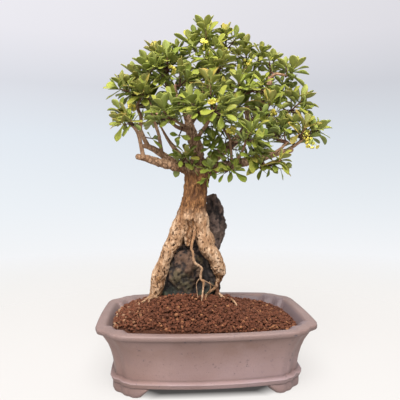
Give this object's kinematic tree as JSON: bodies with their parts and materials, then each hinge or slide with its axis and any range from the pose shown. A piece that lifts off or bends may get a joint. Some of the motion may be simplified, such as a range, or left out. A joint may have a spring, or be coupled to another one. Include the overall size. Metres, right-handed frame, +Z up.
{
  "type": "bonsai tree in pot",
  "caption": "Korean barberry bonsai with roots grown over an upright stone, in small granular soil, in an unglazed rectangular footed clay pot.",
  "frame": {"origin": "middle of the whole object's footprint, on the surface that the pot's feet stand on", "axes": "+Z up along the trunk, +X to the viewer's right along the pot's long side, -Y towards the viewer"},
  "size_m": [0.2048, 0.1454, 0.3236],
  "materials": {
    "unglazed_clay": "unglazed fired clay, mauve brown with fine dark specks, matt",
    "granular_soil": "matt reddish brown granules of about 3 mm",
    "dark_stone": "rough dark grey-brown stone with a tint of moss",
    "bark": "pitted tan bark on trunk and roots, darker on the twigs",
    "screen_plastic": "black plastic mesh",
    "leaf_green": "living leaves, fresh green, some with reddish edges, soft sheen",
    "flower_yellow": "pale yellow petals and buds"
  },
  "bodies": {
    "root": {"pot": "unglazed_clay", "soil": "granular_soil", "rock": "dark_stone", "tree": "bark", "drain_screen_left": "screen_plastic", "drain_screen_right": "screen_plastic", "spray_01": "leaf_green", "spray_02": "leaf_green", "spray_03": "leaf_green", "spray_04": "leaf_green", "spray_05": "leaf_green", "spray_06": "leaf_green", "spray_07": "leaf_green", "spray_08": "leaf_green", "spray_09": "leaf_green", "spray_10": "leaf_green", "spray_11": "leaf_green", "spray_12": "leaf_green", "spray_13": "leaf_green", "spray_14": "leaf_green", "spray_15": "leaf_green", "spray_16": "leaf_green", "spray_17": "leaf_green", "spray_18": "leaf_green", "spray_19": "leaf_green", "spray_20": "leaf_green", "spray_21": "leaf_green", "spray_22": "leaf_green", "spray_23": "leaf_green", "spray_24": "leaf_green", "spray_25": "leaf_green", "spray_26": "leaf_green", "spray_27": "leaf_green", "spray_28": "leaf_green", "spray_29": "leaf_green", "spray_30": "leaf_green", "spray_31": "leaf_green", "spray_32": "leaf_green", "spray_33": "leaf_green", "spray_34": "leaf_green", "spray_35": "leaf_green", "spray_36": "leaf_green", "spray_37": "leaf_green", "spray_38": "leaf_green", "spray_39": "leaf_green", "spray_40": "leaf_green", "spray_41": "leaf_green", "spray_42": "leaf_green", "spray_43": "leaf_green", "spray_44": "leaf_green", "spray_45": "leaf_green", "raceme_1": "flower_yellow", "raceme_2": "flower_yellow", "raceme_3": "flower_yellow", "raceme_4": "flower_yellow", "raceme_5": "flower_yellow", "raceme_6": "flower_yellow", "raceme_7": "flower_yellow", "raceme_8": "flower_yellow", "raceme_9": "flower_yellow"}
  },
  "joints": []
}
